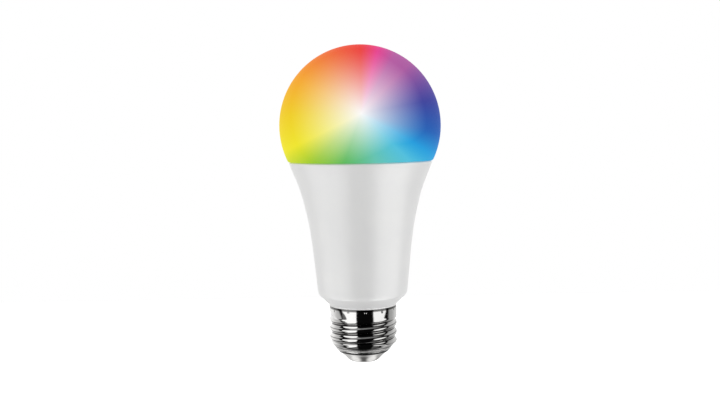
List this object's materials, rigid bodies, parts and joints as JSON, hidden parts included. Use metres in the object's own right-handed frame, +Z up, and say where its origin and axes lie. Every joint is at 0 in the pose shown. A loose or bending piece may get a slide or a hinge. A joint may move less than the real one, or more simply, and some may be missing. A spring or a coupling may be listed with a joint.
{
  "type": "smart light bulb",
  "caption": "Colour-changing smart LED bulb with a round opal globe, flared white housing and screw base; lights a room and takes commands by radio.",
  "frame": {"origin": "tip of the centre contact, on the lamp's axis", "axes": "+Z up along the lamp's axis from the screw base to the crown of the globe; -Y is the front, +X the viewer's right"},
  "size_m": [0.063, 0.063, 0.1247],
  "materials": {
    "opal_diffuser": "opal polycarbonate, smooth satin, lit from inside",
    "white_shell": "moulded white plastic, satin",
    "silicone_white": "cured silicone adhesive",
    "nickel_shell": "bright nickel plate on drawn brass",
    "nickel_contact": "bright nickel plate",
    "brass_rivet": "drawn brass",
    "black_insulator": "glossy black moulding",
    "deck_aluminium": "drawn aluminium, dull",
    "sleeve_plastic": "natural heat resistant plastic",
    "thermal_silicone": "soft grey heat conducting pad",
    "white_metal_board": "aluminium board under white solder mask",
    "warm_led": "phosphor silicone in a white package",
    "cool_led": "phosphor silicone in a white package",
    "rgb_led": "white package with clear well",
    "steel_screw": "zinc plated steel",
    "socket_plastic": "ivory connector plastic",
    "header_plastic": "black connector plastic",
    "pin_metal": "gold flashed square pins",
    "blue_board": "blue solder mask on glass laminate",
    "green_board": "green solder mask on glass laminate",
    "can_steel": "tinned steel can",
    "chip_black": "moulded chip package",
    "copper_trace": "gold flashed copper trace",
    "capacitor_sleeve": "dark shrink sleeve over aluminium can",
    "film_yellow": "dipped box film capacitor",
    "ferrite": "sintered ferrite",
    "bobbin_plastic": "black bobbin plastic",
    "winding_tape": "yellow polyester tape over copper wire",
    "copper_winding": "enamelled copper wire",
    "resistor_coat": "flameproof coating",
    "varistor_coat": "blue epoxy coat on a zinc oxide disc",
    "tinned_lead": "tinned copper leads",
    "chip_ceramic": "tan ceramic body",
    "chip_resistor": "black film on alumina",
    "live_insulation": "red silicone insulated wire",
    "neutral_insulation": "bare tinned copper lead"
  },
  "bodies": {
    "root": {"base_insulator": "black_insulator", "board_header": "header_plastic", "bridge_rectifier": "chip_black", "centre_contact": "nickel_contact", "ceramic_capacitors": "chip_ceramic", "chip_leads": "tinned_lead", "chip_resistors": "chip_resistor", "choke_core": "ferrite", "choke_winding": "copper_winding", "component_leads": "tinned_lead", "contact_pin": "brass_rivet", "cool_white_leds": "cool_led", "driver_board": "green_board", "driver_chip": "chip_black", "film_capacitor": "film_yellow", "fuse_resistor": "resistor_coat", "globe_adhesive_ring": "silicone_white", "globe_diffuser": "opal_diffuser", "header_pins": "pin_metal", "heat_sink_cup": "deck_aluminium", "housing": "white_shell", "input_capacitor": "capacitor_sleeve", "insulating_sleeve": "sleeve_plastic", "led_board": "white_metal_board", "led_board_screws": "steel_screw", "led_board_socket": "socket_plastic", "led_driver_chip": "chip_black", "live_wire": "live_insulation", "neutral_wire": "neutral_insulation", "output_capacitor": "capacitor_sleeve", "power_diodes": "chip_black", "rgb_leds": "rgb_led", "screw_shell": "nickel_shell", "thermal_pad": "thermal_silicone", "transformer_bobbin": "bobbin_plastic", "transformer_core": "ferrite", "transformer_winding": "winding_tape", "varistor": "varistor_coat", "voltage_regulator": "chip_black", "warm_white_leds": "warm_led", "wifi_antenna": "copper_trace", "wifi_chip": "chip_black", "wifi_module_board": "blue_board", "wifi_module_pins": "pin_metal", "wifi_shield_can": "can_steel"}
  },
  "joints": []
}
